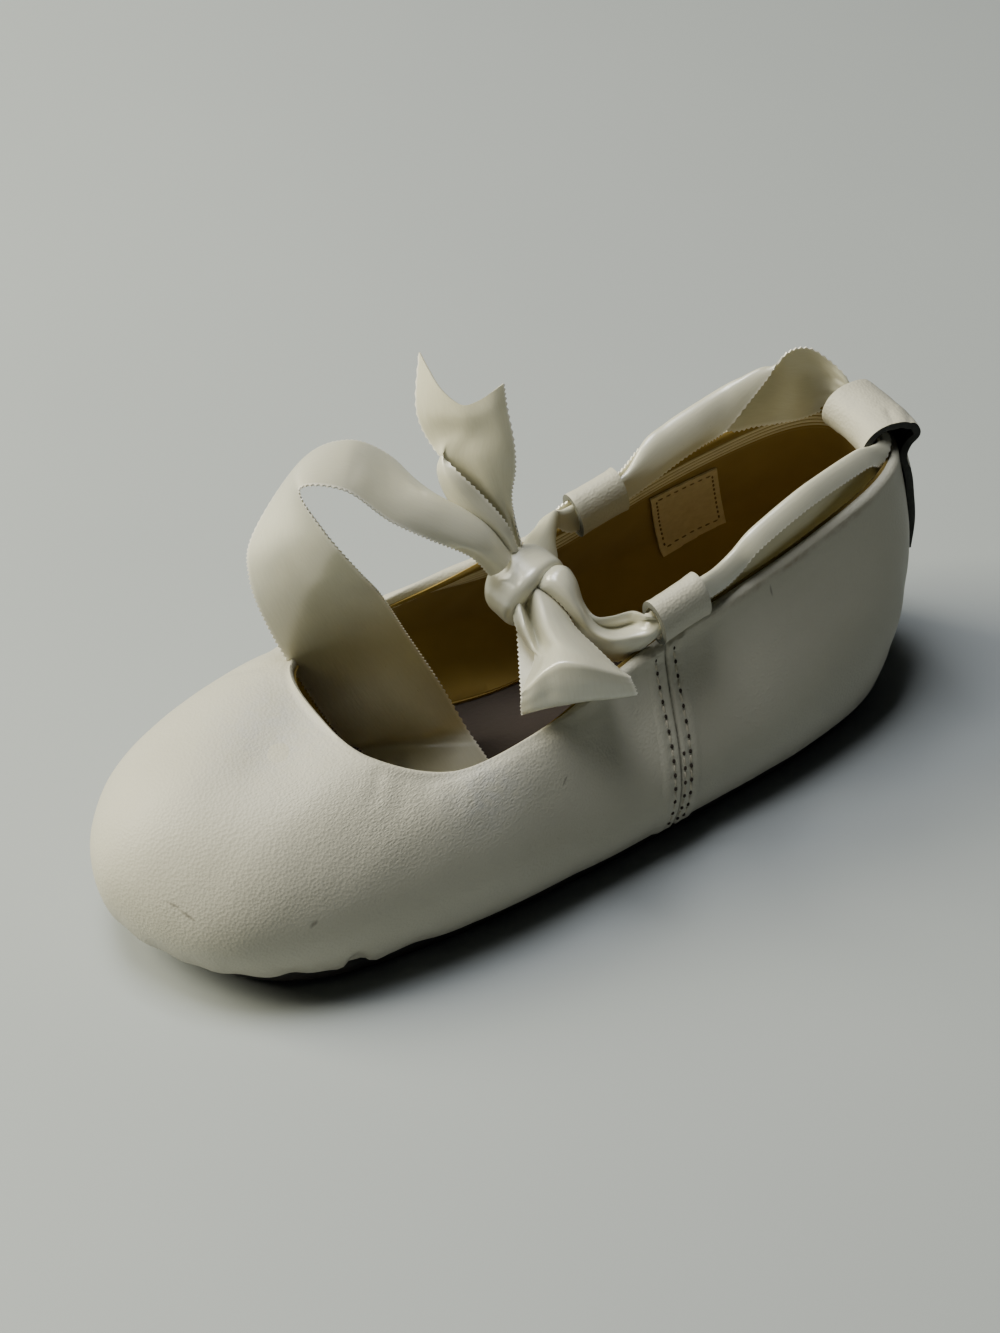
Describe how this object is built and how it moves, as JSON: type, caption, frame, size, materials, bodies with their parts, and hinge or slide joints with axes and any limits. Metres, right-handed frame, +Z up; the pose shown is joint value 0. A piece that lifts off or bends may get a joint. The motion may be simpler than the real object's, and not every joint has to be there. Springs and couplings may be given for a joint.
{
  "type": "baby mary jane shoe",
  "caption": "Low round-toed baby slip-on in ivory leather with a thin dark sole, ribbon loops at the sides and heel, and a satin ribbon tied in a bow over the instep.",
  "frame": {"origin": "on the floor under the middle of the shoe, its length and width taken with the heel strap", "axes": "+X to the toe, +Y to the wearer's left (the outer side), +Z up from the floor"},
  "size_m": [0.1339, 0.0496, 0.0706],
  "materials": {
    "upper_leather": "smooth ivory leather with a fine grain and a low sheen",
    "sole": "dark thin sole leather, matt",
    "insole": "greyed suede, matt",
    "satin": "ivory satin ribbon, glossy face and matt back",
    "lining": "ochre lining cloth with a ribbed top band",
    "thread": "sewing thread"
  },
  "bodies": {
    "root": {"outsole": "sole", "upper": "upper_leather", "insole": "insole", "side_loop_left": "upper_leather", "side_loop_right": "upper_leather", "heel_strap": "upper_leather", "ribbon_tie_left": "satin", "ribbon_tie_right": "satin", "ribbon_knot": "satin", "ribbon_long_end": "satin", "ribbon_tail": "satin", "ribbon_small_loop": "satin"}
  },
  "joints": []
}
